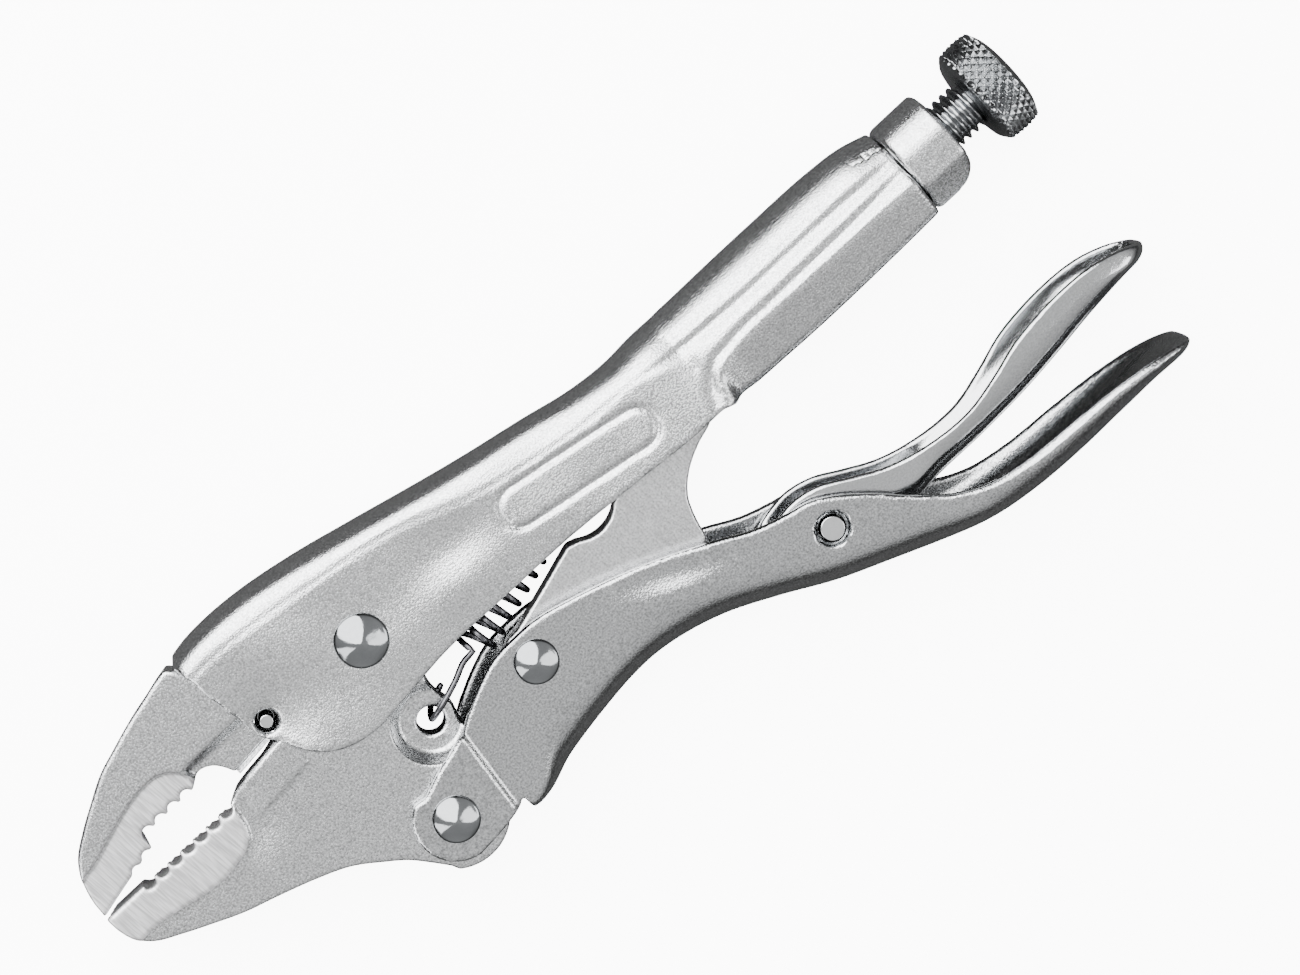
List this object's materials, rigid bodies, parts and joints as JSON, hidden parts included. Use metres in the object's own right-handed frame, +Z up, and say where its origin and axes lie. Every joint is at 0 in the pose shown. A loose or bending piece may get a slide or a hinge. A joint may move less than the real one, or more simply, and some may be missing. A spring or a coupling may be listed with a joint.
{
  "type": "locking pliers",
  "caption": "Curved-jaw locking pliers with toothed jaws, a toggle link held over centre, a release lever and a knurled adjusting screw.",
  "frame": {"origin": "centre of the bounding box's foot, on the surface that the tool lies on", "axes": "+X along the upper handle towards the knurled knob, +Y towards the back of the upper handle, +Z up along the pivots"},
  "size_m": [0.1854, 0.0718, 0.018],
  "materials": {
    "plated_handle": "satin nickel plate",
    "plated_lever": "satin nickel plate",
    "forged_jaw": "fine-grained nickel plate, ground along the jaws",
    "polished_pin": "polished",
    "screw_steel": "satin nickel plate",
    "spring_steel": "dark oiled wire"
  },
  "bodies": {
    "upper_handle": {"upper_handle": "plated_handle", "screw_end_block": "plated_handle", "fixed_jaw": "forged_jaw", "fixed_jaw_pin": "polished_pin", "jaw_pivot_rivet": "polished_pin"},
    "lower_jaw": {"lower_jaw": "forged_jaw", "tension_spring": "spring_steel"},
    "lower_handle": {"lower_handle": "plated_handle", "handle_pivot_rivet": "polished_pin", "link_rivet": "polished_pin", "release_lever_pin": "polished_pin"},
    "toggle_link": {"toggle_link": "forged_jaw"},
    "release_lever": {"release_lever": "plated_lever"},
    "adjusting_screw": {"adjusting_screw": "screw_steel"},
    "knurled_knob": {"knurled_knob": "screw_steel"}
  },
  "joints": [
    {"name": "jaw_swing", "type": "hinge", "parent": "upper_handle", "child": "lower_jaw", "pos_m": [-0.03615, 0.0189, 0.009], "axis": [0, 0, 1], "range_deg": [0, 22], "deforming": ["tension_spring"]},
    {"name": "handle_swing", "type": "hinge", "parent": "lower_jaw", "child": "lower_handle", "pos_m": [-0.04445, -0.0109, 0.009], "axis": [0, 0, 1], "range_deg": [-62.8, 0]},
    {"name": "link_swing", "type": "hinge", "parent": "lower_handle", "child": "toggle_link", "pos_m": [-0.01945, -0.0014, 0.009], "axis": [0, 0, 1], "range_deg": [0, 71.4]},
    {"name": "release_press", "type": "hinge", "parent": "lower_handle", "child": "release_lever", "pos_m": [0.02655, -0.0174, 0.009], "axis": [0, 0, 1], "range_deg": [-8, 0]},
    {"name": "screw_travel", "type": "slide", "parent": "upper_handle", "child": "adjusting_screw", "axis": [1, 0, 0], "range_m": [0, 0.01693]},
    {"name": "screw_turn", "type": "hinge", "parent": "adjusting_screw", "child": "knurled_knob", "pos_m": [0.0886, 0.01455, 0.009], "axis": [1, 0, 0], "range_deg": [0, 4321]}
  ],
  "couplings": [
    {"joint": "handle_swing", "follows": "jaw_swing", "ratio": -2.85},
    {"joint": "link_swing", "follows": "jaw_swing", "ratio": 3.24},
    {"joint": "screw_turn", "follows": "screw_travel", "rad_per_m": 4452.6}
  ]
}
